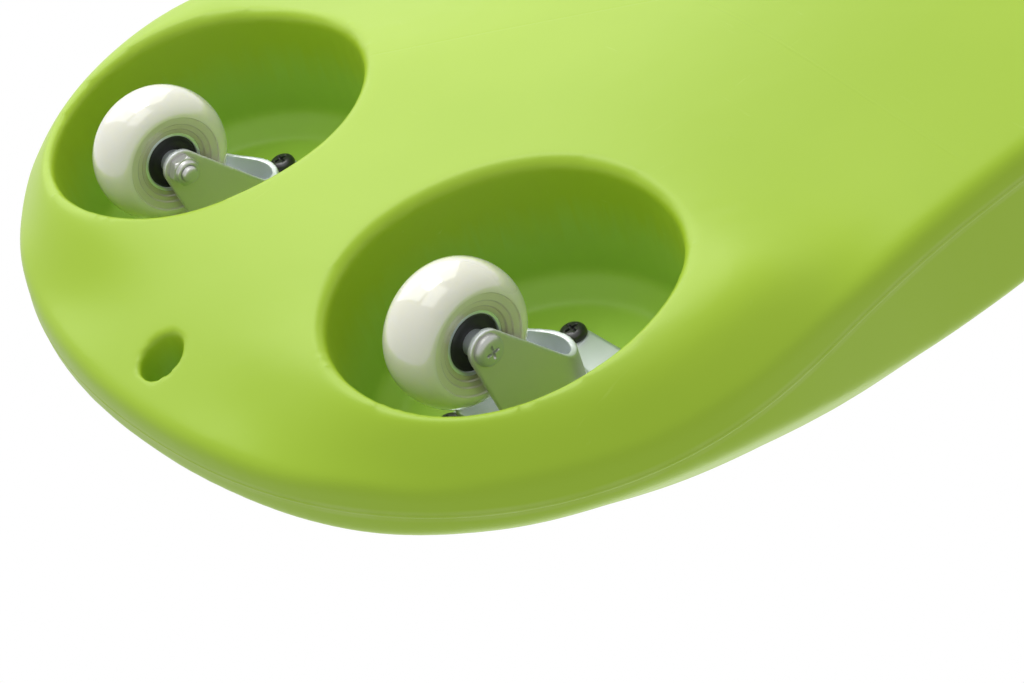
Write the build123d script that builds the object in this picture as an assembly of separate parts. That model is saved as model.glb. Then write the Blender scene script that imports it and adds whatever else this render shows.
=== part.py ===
"""Moulded roller board with four swivel casters in round wells.

The board stands on its wheels, +Z up, with the origin on the floor below the middle of the board and +X along its
length. Lengths are millimetres.
"""

from build123d import *

import math
import os

# Wheels and casters
WHEEL_DIAMETER = 50.0
WHEEL_WIDTH = 24.0
WHEEL_SHOULDER = 6.0
TREAD_CROWN = 1.2
FACE_DIAMETER = 35.0
HEAD_HEIGHT = 23.0
TRAIL = 22.0

# Hub bearing and axle
BEARING_DIAMETER = 22.0
AXLE_DIAMETER = 6.0
BOLT_HEAD_DIAMETER = 11.0
BOLT_HEAD_HEIGHT = 2.8
NUT_ACROSS_FLATS = 10.0
NUT_HEIGHT = 5.6
BOLT_END_SHOWN = 2.2

# Fork
LEG_THICKNESS = 2.2
LEG_GAP = 2.0
LEG_END_RADIUS = 6.8
CROWN_THICKNESS = 2.4
CROWN_FRONT = 24.0
SKIRT_DEPTH = 12.6
SKIRT_KNEE_BACK = 9.5
SKIRT_KNEE_RADIUS = 16.0

# Mount plate and king pin
PLATE_LENGTH = 64.0
PLATE_WIDTH = 44.0
PLATE_THICKNESS = 2.4
PLATE_CORNER = 4.0
RACE_DIAMETER = 34.0
RACE_HEIGHT = 3.2
PIN_DIAMETER = 9.0
PIN_HEAD_DIAMETER = 17.0
PIN_HEAD_HEIGHT = 3.0

# Clearances
RUNNING_GAP = 0.08
SEAT_GAP = 0.02
SWIVEL_GAP = 0.3

# Board
BOARD_LENGTH = 574.0
LOBE_WIDTH = 360.0
WAIST_WIDTH = 342.0
LOBE_FROM_END = 132.0
WAIST_FROM_END = 217.0
OUTLINE_POWER = 2.15
CASTER_FROM_END = 104.0
CASTER_FROM_SIDE = 90.7
WELL_RADIUS = 58.2
WELL_FLARE = 1.5
WELL_DEPTH = 55.5
WELL_CORNER = 8.0
WELL_LIP = 3.0
SEAM_ABOVE_RIM = 30.5
ROOF_HEIGHT = 24.0
BAND_DRAFT = 6.0
RIDGE_RADIUS = 7.0
EDGE_RADIUS = 6.0
SEAM_MARGIN = 1.0
WALL_LEAN = 1.0

# Underside form
EDGE_DROP = 23.0
FLANK_REACH = 21.0
FLANK_POWER = 1.35
FLANK_SOFTNESS = 4.0
TIP_REACH = 80.0
TIP_POWER = 1.6
TIP_SPREAD = 34.0
SCOOP_SLOPE = 0.195
SCOOP_CREST_Y = 60.0
SCOOP_FROM_END = 172.0
SCOOP_SOFTNESS = 10.0

# Cross-sections that the two sculpted sides are drawn through: shares of the board's half length, steps in from its
# outline and shares of its middle
BEYOND = 8.0
END_SHARE = 0.8
MIDDLE_SHARES = [0.0, 1 / 3, 2 / 3]
UNDER_ALONG = [0.0, 0.17, 0.31, 0.40, 0.49, 0.59, 0.71, 0.82, 0.90, 0.955]
UNDER_IN = [0.0, 8.0, 16.0, 24.0, 40.0]
RIDE_ALONG = [0.0, 0.21, 0.38, 0.52, 0.64, 0.74, 0.82, 0.90, 0.96]
RIDE_IN = [7.0, 20.0, 40.0]

# Riding side form
RIDE_FROM_END = 55.5
RIDE_FROM_SIDE = 19.5
RIDE_POWER = 2.9
RIDE_EDGE_HEIGHT = 6.0
RIDE_ROUND = 0.05
RIDE_DISH = 5.0

# Rope holes
ROPE_HOLE_FROM_END = 20.0
ROPE_HOLE_RADIUS = 8.5

# Turn of each caster about its pin, in degrees, as it was left standing
CASTERS = {"fl": (1, 1, 3.0), "fr": (1, -1, -3.0), "rl": (-1, 1, -4.0), "rr": (-1, -1, 2.0)}

# Places along and across the board that follow from the values above
HALF_LENGTH = BOARD_LENGTH / 2
LOBE_X = HALF_LENGTH - LOBE_FROM_END
WAIST_X = HALF_LENGTH - WAIST_FROM_END
SCOOP_END_X = HALF_LENGTH - SCOOP_FROM_END
ROPE_HOLE_X = HALF_LENGTH - ROPE_HOLE_FROM_END
CASTER_X = HALF_LENGTH - CASTER_FROM_END
CASTER_Y = LOBE_WIDTH / 2 - CASTER_FROM_SIDE
RIDE_X = HALF_LENGTH - RIDE_FROM_END
RIDE_Y = LOBE_WIDTH / 2 - RIDE_FROM_SIDE

# Heights that follow from the values above
AXLE_Z = WHEEL_DIAMETER / 2
WELL_FLOOR_Z = WHEEL_DIAMETER + HEAD_HEIGHT
RIM_Z = WELL_FLOOR_Z - WELL_DEPTH
SEAM_Z = RIM_Z + SEAM_ABOVE_RIM
TOP_Z = WELL_FLOOR_Z + ROOF_HEIGHT
PLATE_Z = WELL_FLOOR_Z - PLATE_THICKNESS
CROWN_TOP_Z = PLATE_Z - RACE_HEIGHT - SWIVEL_GAP
CROWN_Z = CROWN_TOP_Z - CROWN_THICKNESS
SKIRT_Z = CROWN_TOP_Z - SKIRT_DEPTH
LEG_INNER_Y = WHEEL_WIDTH / 2 + LEG_GAP
LEG_OUTER_Y = LEG_INNER_Y + LEG_THICKNESS
BEARING_FACE_Y = LEG_INNER_Y - SWIVEL_GAP


def soft_ramp(distance: float, softness: float) -> float:
    """A ramp that starts gently: nothing far below zero, the distance itself far above it."""
    t = distance / softness
    return softness * (max(t, 0.0) + math.log1p(math.exp(-abs(t))))


def soft_switch(distance: float, softness: float) -> float:
    """Goes smoothly from 0 to 1 round a distance of zero."""
    return 1.0 / (1.0 + math.exp(-distance / softness))


def mirrored(values: list[float]) -> list[float]:
    """The values with their negatives, in rising order."""
    return [-v for v in reversed(values) if v] + values


def half_width(x: float) -> float:
    """Half the board's width at a place along it: a straight waist, then a smooth swell, then a rounded end."""
    x = abs(x)
    lobe, waist = LOBE_WIDTH / 2, WAIST_WIDTH / 2
    if x < LOBE_X:
        swell = min(1.0, max(0.0, (x - WAIST_X) / (LOBE_X - WAIST_X)))
        return waist + (lobe - waist) * (0.5 - 0.5 * math.cos(math.pi * swell))
    share = min(1.0, (x - LOBE_X) / LOBE_FROM_END)
    return lobe * (1.0 - share**OUTLINE_POWER) ** (1.0 / OUTLINE_POWER)


def edge_distance(x: float, y: float) -> float:
    """How far a place on the plan lies inside the board's outline."""
    x, y = abs(x), abs(y)
    if x <= LOBE_X:
        return half_width(x) - y
    run = (x - LOBE_X) / LOBE_FROM_END
    rise = 2 * y / LOBE_WIDTH
    reach = (run**OUTLINE_POWER + rise**OUTLINE_POWER) ** (1.0 / OUTLINE_POWER)
    return (1.0 / reach - 1.0) * math.hypot(x - LOBE_X, y)


def underside(x: float, y: float) -> float:
    """Height of the underside: flat in the middle, falling steeply to the lobes' sides, gently to the ends and in
    shallow scoops to the waist."""
    x, y = abs(x), abs(y)
    heading = math.degrees(math.atan2(y, max(x - LOBE_X, 1.0)))
    tip = 1.0 / (1.0 + (heading / TIP_SPREAD) ** 6)
    reach = FLANK_REACH + (TIP_REACH - FLANK_REACH) * tip
    power = FLANK_POWER + (TIP_POWER - FLANK_POWER) * tip
    inside = soft_ramp(edge_distance(x, y) + FLANK_SOFTNESS, FLANK_SOFTNESS) - FLANK_SOFTNESS
    fall = EDGE_DROP * (soft_ramp(reach - inside, FLANK_SOFTNESS) / reach) ** power
    scoop = SCOOP_SLOPE * soft_ramp(y - SCOOP_CREST_Y, SCOOP_SOFTNESS)
    lobe = soft_switch(x - SCOOP_END_X, SCOOP_SOFTNESS)
    return RIM_Z + lobe * fall + (1.0 - lobe) * scoop


def ride_reach(x: float, y: float) -> float:
    """How far out a place lies on the seat's oval: 1 on its edge."""
    return (abs(x / RIDE_X) ** RIDE_POWER + abs(y / RIDE_Y) ** RIDE_POWER) ** (1 / RIDE_POWER)


def shoulder_drop() -> float:
    """The fall of the riding side's shoulders that leaves a low wall above the parting line where it is lowest."""
    furthest = max(ride_reach(share * HALF_LENGTH, half_width(share * HALF_LENGTH)) for share in [*RIDE_ALONG, 1.0])
    return (TOP_Z - SEAM_Z - RIDE_EDGE_HEIGHT) / (furthest - 1.0)


def riding_side(x: float, y: float) -> float:
    """Height of the riding side: a dished oval seat whose shoulders slope down to the lobes."""
    reach = ride_reach(x, y)
    beyond = reach - 1.0
    shoulder = shoulder_drop() * 0.5 * (beyond + math.sqrt(beyond**2 + RIDE_ROUND**2))
    return TOP_Z - shoulder - RIDE_DISH * max(0.0, 1.0 - reach**2) ** 2


def outline_face(inset: float, z: float) -> Face:
    """The board's plan at one height, set in all round by the same amount."""
    lobe = LOBE_WIDTH / 2
    power = 2.0 / OUTLINE_POWER
    quarter = [(HALF_LENGTH - inset, 0.0)]
    for degrees in (15.0, 30.0, 45.0, 60.0, 75.0):
        angle = math.radians(degrees)
        x = LOBE_X + (LOBE_FROM_END - inset) * math.cos(angle) ** power
        quarter.append((x, (lobe - inset) * math.sin(angle) ** power))
    swell_x = (LOBE_X + WAIST_X) / 2
    quarter += [(x, half_width(x) - inset) for x in (LOBE_X, swell_x, WAIST_X, 0.0)]
    loop = quarter + [(-x, y) for x, y in reversed(quarter[:-1])]
    loop += [(-x, -y) for x, y in quarter[1:]] + [(x, -y) for x, y in reversed(quarter[1:-1])]
    return make_face(Spline(*[(x, y, z) for x, y in loop], periodic=True))


def station(x: float, height, across: list[float], far_z: float) -> Face:
    """One cross-section of a sculpting block, bounded by the form's height line and a straight far side."""
    line = Spline(*[(x, y, height(x, y)) for y in across])
    first, last = across[0], across[-1]
    rest = Polyline((x, last, height(x, last)), (x, last, far_z), (x, first, far_z), (x, first, height(x, first)))
    return Face(Wire([line, *rest.edges()]))


def sculpting_block(height, along: list[float], steps_in: list[float], far_z: float) -> Part:
    """A block that carries the form's surface on one side, lofted through cross-sections.

    Each section's points lie at the same steps in from the outline and then at even shares of the middle; near the
    ends they keep the width they had.
    """
    narrowest = LOBE_X + END_SHARE * LOBE_FROM_END
    sections = []
    for x in mirrored([share * HALF_LENGTH for share in along] + [HALF_LENGTH + BEYOND]):
        width = half_width(min(abs(x), narrowest))
        middle = width - steps_in[-1]
        spread = [share * middle for share in MIDDLE_SHARES] + [width - step for step in reversed(steps_in)]
        sections.append(station(x, height, mirrored([*spread, width + BEYOND]), far_z))
    return loft(sections)


def well_cutter() -> Part:
    """The space of one wheel well: a drafted round wall with a bevelled floor corner."""
    open_radius = WELL_RADIUS + WELL_FLARE * (WELL_FLOOR_Z / WELL_DEPTH)
    profile = Polyline(
        (0.0, 0.0),
        (open_radius, 0.0),
        (WELL_RADIUS, WELL_FLOOR_Z - WELL_CORNER),
        (WELL_RADIUS - WELL_CORNER, WELL_FLOOR_Z),
        (0.0, WELL_FLOOR_Z),
        close=True,
    )
    return revolve(Plane.XZ * make_face(profile), axis=Axis.Z)


def box_middle(edge: Edge) -> Vector:
    """The middle of an edge's bounding box."""
    box = edge.bounding_box()
    return (box.min + box.max) * 0.5


def well_places() -> list[tuple[float, float]]:
    """Plan positions of the four wells."""
    return [(sx * CASTER_X, sy * CASTER_Y) for sx, sy, _ in CASTERS.values()]


def deck_form() -> Part:
    """The board's outer form, before the wells: upright walls trimmed by the underside and the riding side."""
    low_inset = SEAM_Z * math.tan(math.radians(BAND_DRAFT))
    lower = loft([outline_face(0.0, SEAM_Z), outline_face(low_inset, 0.0)], ruled=True)
    upper = loft([outline_face(0.0, SEAM_Z), outline_face(WALL_LEAN, TOP_Z + ROOF_HEIGHT)], ruled=True)
    below = sculpting_block(underside, UNDER_ALONG, UNDER_IN, -RIM_Z)
    above = sculpting_block(riding_side, RIDE_ALONG, RIDE_IN, TOP_Z + 2 * ROOF_HEIGHT)
    form = lower + upper - below - above
    ridge = [e for e in form.edges() if e.bounding_box().max.Z < SEAM_Z - SEAM_MARGIN and e.length > BOARD_LENGTH]
    form = fillet(ridge, RIDGE_RADIUS)
    edge = [e for e in form.edges() if e.bounding_box().min.Z > SEAM_Z + SEAM_MARGIN and e.length > BOARD_LENGTH]
    return fillet(edge, EDGE_RADIUS)


def make_deck() -> Part:
    """The moulded board with its wells and rope holes."""
    deck = deck_form()
    for x, y in well_places():
        deck -= Pos(x, y, 0.0) * well_cutter()

    def on_rim(edge: Edge) -> bool:
        """True for the edges where a well opens through the underside."""
        middle = box_middle(edge)
        near = any(math.hypot(middle.X - x, middle.Y - y) < WELL_RADIUS for x, y in well_places())
        return near and edge.geom_type != GeomType.LINE and edge.bounding_box().max.Z < SEAM_Z

    deck = chamfer([e for e in deck.edges() if on_rim(e)], WELL_LIP)
    for end in (1, -1):
        deck -= Pos(end * ROPE_HOLE_X, 0.0, SEAM_Z) * Cylinder(ROPE_HOLE_RADIUS, 2 * TOP_Z)
    return deck


def turned(profile: list[tuple[float, float]]) -> Part:
    """A solid turned about Z from a profile of radius and height points."""
    return revolve(Plane.XZ * make_face(Polyline(*profile, close=True)), axis=Axis.Z)


def ring(outer: float, inner: float, low: float, high: float) -> Part:
    """A plain ring about Z between two heights, from two diameters."""
    return turned([(inner / 2, low), (outer / 2, low), (outer / 2, high), (inner / 2, high)])


def across(part: Part) -> Part:
    """A part made about Z, laid along Y with its +Z end at +Y and moved to the axle."""
    return Pos(TRAIL, 0.0, AXLE_Z) * Rot(-90.0, 0.0, 0.0) * part


def make_plate() -> Part:
    """The mount plate with the pressed boss of its swivel race."""
    blank = chamfer(Rectangle(PLATE_LENGTH, PLATE_WIDTH).vertices(), PLATE_CORNER)
    plate = extrude(Pos(0.0, 0.0, PLATE_Z) * blank, PLATE_THICKNESS)
    race = extrude(Pos(0.0, 0.0, PLATE_Z - RACE_HEIGHT) * Circle(RACE_DIAMETER / 2), RACE_HEIGHT)
    return plate + race


def make_king_pin() -> Part:
    """The headed pin below the race that the fork swivels on."""
    pin, head = PIN_DIAMETER / 2, PIN_HEAD_DIAMETER / 2
    head_top = CROWN_Z - SWIVEL_GAP
    race_z = PLATE_Z - RACE_HEIGHT
    low = head_top - PIN_HEAD_HEIGHT
    return turned([(0.0, low), (head, low), (head, head_top), (pin, head_top), (pin, race_z), (0.0, race_z)])


def fork_plan(half_width: float, front: float) -> Sketch:
    """The fork seen from above: a half-round back and two straight sides."""
    back = Circle(half_width)
    sides = Pos(front / 2, 0.0) * Rectangle(front, 2 * half_width)
    return back + sides


def make_fork() -> Part:
    """The pressed fork: a crown with a skirt round its back that runs down into two tapered legs."""
    top = CROWN_TOP_Z
    leg_end = Pos(TRAIL, AXLE_Z) * Circle(LEG_END_RADIUS)
    leg_foot = Polyline((-SKIRT_KNEE_BACK, SKIRT_Z), (CROWN_FRONT, SKIRT_Z))
    leg = make_hull([*leg_end.edges(), *leg_foot.edges()])
    band_length = CROWN_FRONT + 2 * LEG_OUTER_Y
    band = Pos(CROWN_FRONT - band_length / 2, (top + SKIRT_Z) / 2) * Rectangle(band_length, top - SKIRT_Z)
    side = leg + band
    knee = min(side.vertices(), key=lambda v: math.hypot(v.X + SKIRT_KNEE_BACK, v.Y - SKIRT_Z))
    side = fillet(knee, SKIRT_KNEE_RADIUS)
    curtain = extrude(Plane.XZ * side, 2 * LEG_OUTER_Y, both=True)
    reach = TRAIL + 2 * LEG_END_RADIUS
    height = top - AXLE_Z + 2 * LEG_END_RADIUS
    wall = fork_plan(LEG_OUTER_Y, reach) - fork_plan(LEG_INNER_Y, reach + LEG_THICKNESS)
    skirt = extrude(Pos(0.0, 0.0, top - height) * wall, height) & curtain
    crown = extrude(Pos(0.0, 0.0, CROWN_Z) * fork_plan(LEG_OUTER_Y, CROWN_FRONT), CROWN_THICKNESS)
    fork = skirt + crown
    fork -= Pos(0.0, 0.0, CROWN_Z) * Cylinder(PIN_DIAMETER / 2 + RUNNING_GAP, 4 * CROWN_THICKNESS)
    return fork - across(Cylinder(AXLE_DIAMETER / 2 + SEAT_GAP, 4 * LEG_OUTER_Y))


def make_axle_bolt(head_side: int) -> Part:
    """The axle bolt, with its head on one side of the fork and its end through the nut on the other."""
    shank, head = AXLE_DIAMETER / 2, BOLT_HEAD_DIAMETER / 2
    end = -(LEG_OUTER_Y + NUT_HEIGHT + BOLT_END_SHOWN)
    top = LEG_OUTER_Y + BOLT_HEAD_HEIGHT
    bolt = turned([(0.0, end), (shank, end), (shank, LEG_OUTER_Y), (head, LEG_OUTER_Y), (head, top), (0.0, top)])
    return across(bolt if head_side > 0 else Rot(180.0, 0.0, 0.0) * bolt)


def make_axle_nut(head_side: int) -> Part:
    """The nut on the axle bolt."""
    blank = RegularPolygon(NUT_ACROSS_FLATS / 2, 6, major_radius=False) - Circle(AXLE_DIAMETER / 2 + SEAT_GAP)
    nut = extrude(Pos(0.0, 0.0, LEG_OUTER_Y) * blank, NUT_HEIGHT)
    return across(nut if head_side < 0 else Rot(180.0, 0.0, 0.0) * nut)


def make_bearing() -> Part:
    """The sealed hub bearing that carries the wheel on the axle bolt."""
    return across(ring(BEARING_DIAMETER, AXLE_DIAMETER + 2 * RUNNING_GAP, -BEARING_FACE_Y, BEARING_FACE_Y))


def make_wheel() -> Part:
    """The barrel wheel with rounded shoulders and its bearing bore."""
    radius, half = WHEEL_DIAMETER / 2, WHEEL_WIDTH / 2
    face, seat = FACE_DIAMETER / 2, BEARING_DIAMETER / 2 + SEAT_GAP
    side = half - WHEEL_SHOULDER
    tread = Spline(
        (face, -half),
        (radius - TREAD_CROWN, -side),
        (radius, 0.0),
        (radius - TREAD_CROWN, side),
        (face, half),
        tangents=[(1.0, -0.12), (-1.0, -0.12)],
    )
    hub = Polyline((face, half), (seat, half), (seat, -half), (face, -half))
    return across(revolve(Plane.XZ * make_face([*tread.edges(), *hub.edges()]), axis=Axis.Z))


def main() -> None:
    """Builds every piece and writes one file per node."""
    pieces = {"deck": make_deck()}
    plate, pin, fork = make_plate(), make_king_pin(), make_fork()
    bearing, wheel = make_bearing(), make_wheel()
    for name, (sx, sy, turn) in CASTERS.items():
        place = Pos(sx * CASTER_X, sy * CASTER_Y, 0.0)
        swivel = place * Rot(0.0, 0.0, turn)
        pieces[f"mount_plate_{name}"] = place * plate
        pieces[f"king_pin_{name}"] = place * pin
        pieces[f"fork_{name}"] = swivel * fork
        pieces[f"axle_bolt_{name}"] = swivel * make_axle_bolt(sy)
        pieces[f"axle_nut_{name}"] = swivel * make_axle_nut(sy)
        pieces[f"bearing_{name}"] = swivel * bearing
        pieces[f"wheel_{name}"] = swivel * wheel
    os.makedirs("parts", exist_ok=True)
    for node, piece in pieces.items():
        export_step(piece, f"parts/{node}.step")


if __name__ == "__main__":
    main()
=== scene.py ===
"""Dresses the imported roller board: its moulded lime board, its swivel casters and a plain studio.

Lengths are metres in the board's own frame: the board stands on its wheels, +X along its length, +Z up.
"""

import logging
import math
from dataclasses import dataclass
from enum import Enum

import bmesh
import bpy
import numpy as np
from mathutils import Matrix, Vector


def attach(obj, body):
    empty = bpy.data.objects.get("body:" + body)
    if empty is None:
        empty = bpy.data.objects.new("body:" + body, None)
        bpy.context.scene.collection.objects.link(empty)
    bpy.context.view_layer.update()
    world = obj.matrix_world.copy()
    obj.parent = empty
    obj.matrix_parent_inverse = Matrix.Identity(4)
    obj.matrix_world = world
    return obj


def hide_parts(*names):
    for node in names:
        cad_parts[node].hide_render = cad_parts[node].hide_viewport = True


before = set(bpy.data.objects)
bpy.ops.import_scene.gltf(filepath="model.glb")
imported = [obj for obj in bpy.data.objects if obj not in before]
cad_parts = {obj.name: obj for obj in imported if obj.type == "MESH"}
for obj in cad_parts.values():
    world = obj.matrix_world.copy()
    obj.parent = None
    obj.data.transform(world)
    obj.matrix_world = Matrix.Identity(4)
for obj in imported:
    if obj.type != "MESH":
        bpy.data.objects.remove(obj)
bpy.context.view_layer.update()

LOG = logging.getLogger("roller_board")
MM = 0.001
SAME_POINT = 1e-6
NO_LENGTH = 1e-7
NO_CREASE = 180.0
CASTER_X = 183.0 * MM
CASTER_Y = 89.3 * MM
SEAM_Z = 48.0 * MM
WHITE = (1.0, 1.0, 1.0)
UP = (0.0, 0.0, 1.0)
Colour = tuple[float, float, float]
Corner = tuple[float, float, float]
Place = tuple[float, float, float]
Direction = tuple[float, float, float]
Socket = bpy.types.NodeSocket


class Side(Enum):
    """The four caster places: ending of the node names, signs along and across, and turn in degrees."""

    FRONT_LEFT = ("fl", 1, 1, 3.0)
    FRONT_RIGHT = ("fr", 1, -1, -3.0)
    REAR_LEFT = ("rl", -1, 1, -4.0)
    REAR_RIGHT = ("rr", -1, -1, 2.0)

    @property
    def tag(self) -> str:
        """The ending of this caster's node names."""
        return self.value[0]

    @property
    def across(self) -> int:
        """The side of the board it stands on, which is also the side its bolt head faces."""
        return self.value[2]


def srgb(red: int, green: int, blue: int) -> Colour:
    """Turns a colour given in 0 to 255 display values into linear light.

    Args:
        red: red display value.
        green: green display value.
        blue: blue display value.

    Returns:
        The linear colour.
    """
    share = np.array([red, green, blue]) / 255.0
    linear = np.where(share <= 0.04045, share / 12.92, ((share + 0.055) / 1.055) ** 2.4)
    return tuple(float(v) for v in linear)


# Mesh building


def grid_mesh(name: str, grids: list[np.ndarray], close_columns: bool) -> bpy.types.Mesh:
    """Makes one mesh from grids of points, joining each point to its right and lower neighbour.

    Args:
        name: the mesh's name.
        grids: arrays of rows by columns by 3.
        close_columns: joins each grid's last column to its first.

    Returns:
        The new mesh, smooth shaded.
    """
    points, quads, start = [], [], 0
    for grid in grids:
        rows, columns = grid.shape[:2]
        index = start + np.arange(rows * columns).reshape(rows, columns)
        if close_columns:
            index = np.hstack([index, index[:, :1]])
        corners = [index[:-1, :-1], index[1:, :-1], index[1:, 1:], index[:-1, 1:]]
        quads.append(np.stack(corners, axis=-1).reshape(-1, 4))
        points.append(grid.reshape(-1, 3))
        start += rows * columns
    mesh = bpy.data.meshes.new(name)
    mesh.from_pydata(np.vstack(points).tolist(), [], np.vstack(quads).tolist())
    mesh.polygons.foreach_set("use_smooth", np.ones(len(mesh.polygons), dtype=bool))
    return mesh


def rounded_profile(corners: list[Corner], steps: int = 6) -> np.ndarray:
    """Draws a line through corners, each rounded by a quadratic curve of its own reach.

    Args:
        corners: radius, height and rounding of each corner, in millimetres.
        steps: points on each rounding.

    Returns:
        Array of points by 2, radius then height, in metres.
    """
    places = np.array([corner[:2] for corner in corners], dtype=float)
    line = [places[0]]
    share = np.linspace(0.0, 1.0, steps)[:, None]
    for before, here, after, rounding in zip(places, places[1:], places[2:], [c[2] for c in corners[1:-1]]):
        to_before, to_after = before - here, after - here
        reach = min(rounding, 0.45 * np.linalg.norm(to_before), 0.45 * np.linalg.norm(to_after))
        if reach <= 0.0:
            line.append(here)
            continue
        first = here + to_before / np.linalg.norm(to_before) * reach
        last = here + to_after / np.linalg.norm(to_after) * reach
        line.extend((1 - share) ** 2 * first + 2 * share * (1 - share) * here + share**2 * last)
    line.append(places[-1])
    return np.array(line) * MM


def turned_points(profile: np.ndarray, segments: int = 96) -> np.ndarray:
    """Carries a profile of radius and height round the Z axis: (r cos a, r sin a, h).

    Args:
        profile: array of points by 2, radius then height.
        segments: number of steps round.

    Returns:
        Array of profile points by segments by 3.
    """
    angle = np.linspace(0.0, 2.0 * np.pi, segments, endpoint=False)
    radius, height = profile[:, :1], profile[:, 1:]
    return np.stack([radius * np.cos(angle), radius * np.sin(angle), height + 0.0 * angle], axis=-1)


def cross_recess(points: np.ndarray, top: float, arm: float, width: float, depth: float) -> np.ndarray:
    """Presses a cross into the top of a turned head: points sink where they lie within one of its arms.

    Args:
        points: the head's grid, turned about Z with its top at the highest Z.
        top: the height of the top.
        arm: how far the cross's arms reach from the middle.
        width: half the width of an arm.
        depth: how deep the cross is.

    Returns:
        The changed grid.
    """
    across, along = np.abs(points[..., 0]), np.abs(points[..., 1])
    near, far = np.minimum(across, along), np.maximum(across, along)
    soft_side, soft_end, crown = 0.35 * width, 0.3 * arm, 0.35 * MM
    inside = np.clip((width - near) / soft_side + 0.5, 0.0, 1.0)
    inside = inside * np.clip((arm - far) / soft_end + 0.5, 0.0, 1.0)
    inside *= points[..., 2] > top - crown
    changed = points.copy()
    changed[..., 2] -= depth * inside
    return changed


def tidy_mesh(mesh: bpy.types.Mesh, crease: float) -> None:
    """Merges doubled points, turns the faces outwards and keeps edges sharper than a crease angle crisp.

    Args:
        mesh: the mesh to tidy.
        crease: the angle in degrees above which an edge stays sharp.
    """
    work = bmesh.new()
    work.from_mesh(mesh)
    bmesh.ops.remove_doubles(work, verts=work.verts, dist=SAME_POINT)
    bmesh.ops.dissolve_degenerate(work, edges=work.edges, dist=NO_LENGTH)
    bmesh.ops.recalc_face_normals(work, faces=work.faces)
    work.to_mesh(mesh)
    work.free()
    mesh.polygons.foreach_set("use_smooth", np.ones(len(mesh.polygons), dtype=bool))
    mesh.set_sharp_from_angle(angle=math.radians(crease))
    mesh.update()


def rounded_copy(node: str, name: str, cell: float, passes: int, keep: float = 1.0) -> bpy.types.Mesh:
    """Copies a node's mesh on an even net of small faces and smooths it, so that its edges round off a little.

    Args:
        node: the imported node.
        name: the copy's name.
        cell: the net's cell size.
        passes: how often it is smoothed.
        keep: the share of the faces to keep, where flat stretches need fewer.

    Returns:
        The new mesh.
    """
    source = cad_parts[node].data.copy()
    tidy_mesh(source, NO_CREASE)
    work = bpy.data.objects.new(name, source)
    bpy.context.scene.collection.objects.link(work)
    net = work.modifiers.new("even_net", "REMESH")
    net.mode = "VOXEL"
    net.voxel_size = cell
    net.use_smooth_shade = True
    soft = work.modifiers.new("soft_edges", "SMOOTH")
    soft.factor = 0.5
    soft.iterations = passes
    if keep < 1.0:
        fewer = work.modifiers.new("fewer_faces", "DECIMATE")
        fewer.ratio = keep
    mesh = bpy.data.meshes.new_from_object(work.evaluated_get(bpy.context.evaluated_depsgraph_get()))
    mesh.name = name
    bpy.data.objects.remove(work)
    bpy.data.meshes.remove(source)
    mesh.polygons.foreach_set("use_smooth", np.ones(len(mesh.polygons), dtype=bool))
    return mesh


def mesh_points(mesh: bpy.types.Mesh) -> np.ndarray:
    """Reads a mesh's points.

    Args:
        mesh: the mesh.

    Returns:
        Array of points by 3.
    """
    flat = np.empty(3 * len(mesh.vertices), dtype=np.float32)
    mesh.vertices.foreach_get("co", flat)
    return flat.reshape(-1, 3)


def mesh_normals(mesh: bpy.types.Mesh) -> np.ndarray:
    """Reads the outward directions at a mesh's points.

    Args:
        mesh: the mesh.

    Returns:
        Array of points by 3.
    """
    flat = np.empty(3 * len(mesh.vertices), dtype=np.float32)
    mesh.vertex_normals.foreach_get("vector", flat)
    return flat.reshape(-1, 3)


def mark_points(mesh: bpy.types.Mesh, name: str, values: np.ndarray) -> None:
    """Stores a number with each of a mesh's points, for its finish to read.

    Args:
        mesh: the mesh.
        name: the attribute's name.
        values: one number for each point.
    """
    mesh.attributes.new(name, "FLOAT", "POINT").data.foreach_set("value", values.astype(np.float32))


def place_piece(
    mesh: bpy.types.Mesh, body: str, finish: bpy.types.Material, node: str = ""
) -> None:
    """Puts a mesh into the scene as a piece that rides on a body.

    Args:
        mesh: the piece's mesh, in the board's frame.
        body: the body it moves with.
        finish: its material.
        node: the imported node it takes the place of, if any.
    """
    piece = bpy.data.objects.new(mesh.name, mesh)
    bpy.context.scene.collection.objects.link(piece)
    mesh.materials.clear()
    mesh.materials.append(finish)
    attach(piece, body)
    if node:
        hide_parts(node)
    LOG.info("piece %s on %s, %d faces", mesh.name, body, len(mesh.polygons))


# Shared shader effects


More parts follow.
